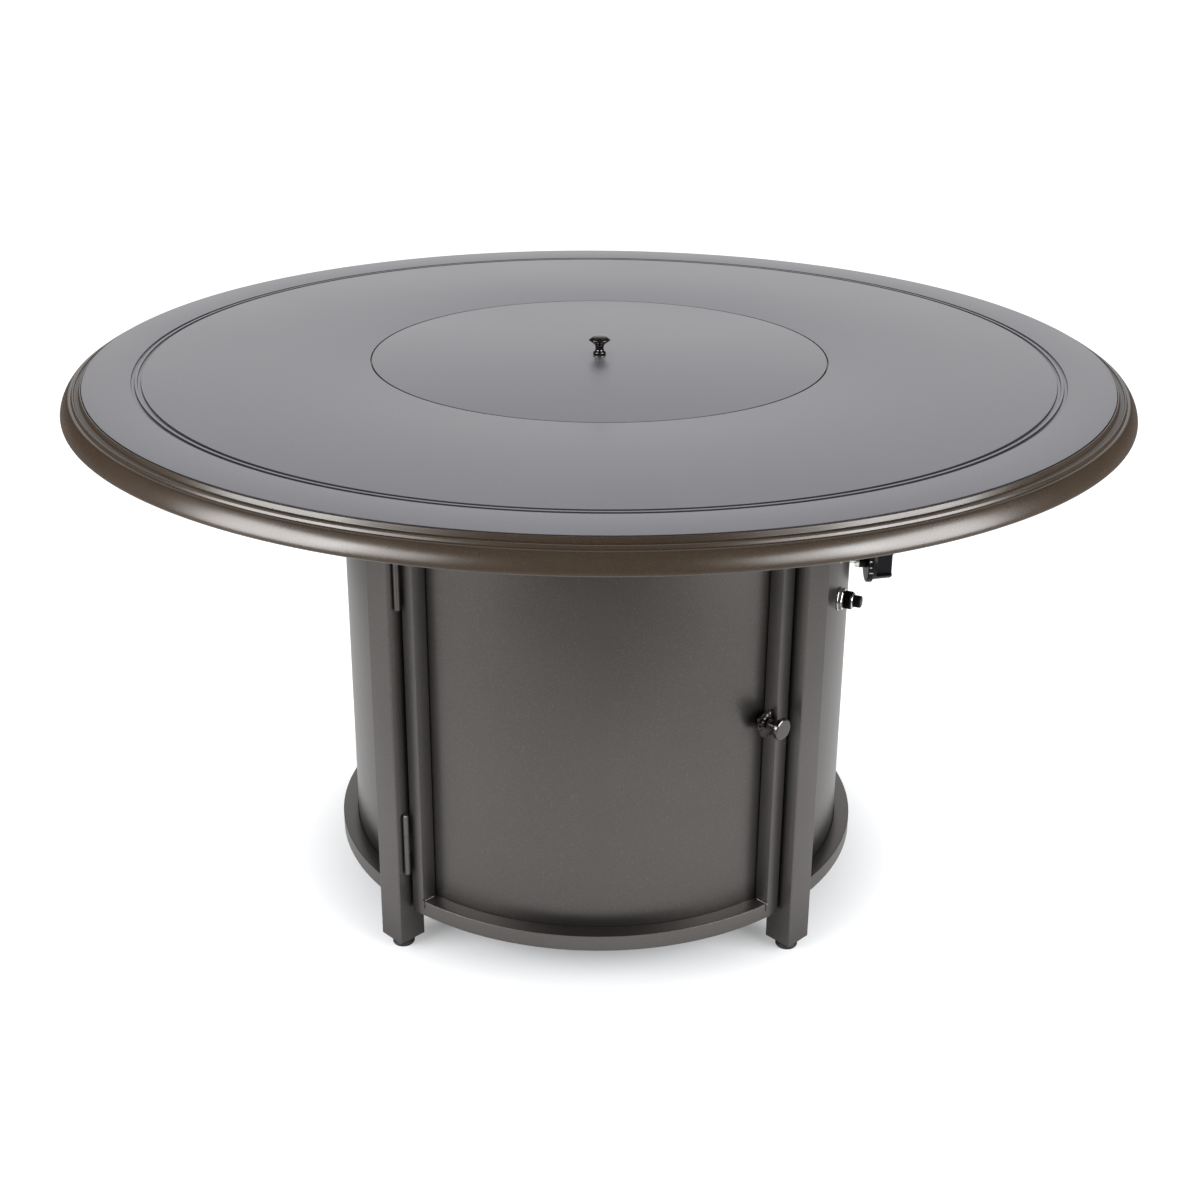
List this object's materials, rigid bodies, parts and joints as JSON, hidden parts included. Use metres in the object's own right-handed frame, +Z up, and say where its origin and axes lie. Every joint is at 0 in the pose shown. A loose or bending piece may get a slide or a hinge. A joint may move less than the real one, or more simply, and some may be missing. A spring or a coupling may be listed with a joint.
{
  "type": "fire pit table",
  "caption": "Round metal fire pit table: lift-off burner lid, bullnose rim, four square legs, curved panels, hinged front door with turn latch, gas knob and push igniter.",
  "frame": {"origin": "on the floor, under the centre of the round top", "axes": "+Z up, -Y towards the door, +X towards the gas knob"},
  "size_m": [1.2191, 1.2192, 0.6825],
  "materials": {
    "top_sheet": "satin pewter coating with a fine brushed grain",
    "rim_metal": "satin dark bronze coating",
    "base_paint": "satin gunmetal powder coat",
    "panel_paint": "satin gunmetal powder coat",
    "knob_metal": "polished dark metal",
    "bright_steel": "bright plated steel",
    "zinc_steel": "zinc plated steel",
    "stainless": "brushed stainless steel",
    "galvanised": "galvanised sheet",
    "brass_parts": "machined brass",
    "gas_tube_metal": "drawn aluminium tube",
    "black_plastic": "black moulded plastic",
    "foot_plastic": "black nylon",
    "lead_jacket": "silicone wire jacket",
    "white_ceramic": "glazed white ceramic"
  },
  "bodies": {
    "frame": {"air_mixer": "brass_parts", "arm_bolts": "zinc_steel", "base_hoop": "base_paint", "bracket_screws": "zinc_steel", "burner_pan": "stainless", "burner_ring": "stainless", "gas_tube": "gas_tube_metal", "gas_valve": "brass_parts", "heat_shield": "zinc_steel", "hinge_leg_leaves": "zinc_steel", "hinge_pins": "zinc_steel", "igniter_body": "black_plastic", "igniter_electrode": "white_ceramic", "igniter_lead": "lead_jacket", "igniter_nut": "bright_steel", "inlet_fitting": "brass_parts", "latch_strike": "zinc_steel", "lead_clip": "black_plastic", "leg_front_left": "base_paint", "leg_front_right": "base_paint", "leg_plugs": "black_plastic", "leg_rear_left": "base_paint", "leg_rear_right": "base_paint", "lid_seat": "base_paint", "lower_ring_left": "base_paint", "lower_ring_rear": "base_paint", "lower_ring_right": "base_paint", "shelf_cross": "base_paint", "side_panel_left": "panel_paint", "side_panel_rear": "panel_paint", "side_panel_right": "panel_paint", "table_plate": "top_sheet", "table_rim": "rim_metal", "tank_shelf": "galvanised", "top_arm_front_left": "base_paint", "top_arm_front_right": "base_paint", "top_arm_rear_left": "base_paint", "top_arm_rear_right": "base_paint", "valve_bracket": "zinc_steel"},
    "door": {"door_stile_hinge": "base_paint", "door_stile_latch": "base_paint", "door_rail_bottom": "base_paint", "door_rail_top": "base_paint", "door_panel": "panel_paint", "hinge_door_leaves": "zinc_steel", "latch_bracket": "bright_steel"},
    "latch": {"latch_knob": "knob_metal", "latch_pawl": "zinc_steel", "latch_nut": "zinc_steel"},
    "lid": {"lid_disc": "top_sheet", "lid_ring": "top_sheet", "lid_knob": "knob_metal", "lid_screw": "zinc_steel"},
    "gas_knob": {"control_knob": "black_plastic", "valve_spindle": "zinc_steel"},
    "button": {"igniter_button": "black_plastic"},
    "foot_front_right": {"glide_front_right": "foot_plastic"},
    "foot_rear_right": {"glide_rear_right": "foot_plastic"},
    "foot_rear_left": {"glide_rear_left": "foot_plastic"},
    "foot_front_left": {"glide_front_left": "foot_plastic"}
  },
  "joints": [
    {"name": "door_hinge", "type": "hinge", "parent": "frame", "child": "door", "pos_m": [-0.21708, -0.24819, 0.307], "axis": [0, 0, -1], "range_deg": [0, 110]},
    {"name": "latch_turn", "type": "hinge", "parent": "door", "child": "latch", "pos_m": [0.1789, -0.24537, 0.31], "axis": [-0.7071, 0.7071, 0], "range_deg": [0, 90]},
    {"name": "lid_lift", "type": "slide", "parent": "frame", "child": "lid", "axis": [0, 0, 1], "range_m": [0, 0.12]},
    {"name": "gas_knob_turn", "type": "hinge", "parent": "frame", "child": "gas_knob", "pos_m": [0.33, 0, 0.402], "axis": [1, 0, 0], "range_deg": [0, 180]},
    {"name": "igniter_push", "type": "slide", "parent": "frame", "child": "button", "axis": [-0.9205, 0.3907, 0], "range_m": [0, 0.004], "stiffness_N_per_m": 800, "springref_m": -0.001},
    {"name": "level_front_right", "type": "slide", "parent": "frame", "child": "foot_front_right", "axis": [0, 0, -1], "range_m": [0, 0.01]},
    {"name": "level_rear_right", "type": "slide", "parent": "frame", "child": "foot_rear_right", "axis": [0, 0, -1], "range_m": [0, 0.01]},
    {"name": "level_rear_left", "type": "slide", "parent": "frame", "child": "foot_rear_left", "axis": [0, 0, -1], "range_m": [0, 0.01]},
    {"name": "level_front_left", "type": "slide", "parent": "frame", "child": "foot_front_left", "axis": [0, 0, -1], "range_m": [0, 0.01]}
  ]
}
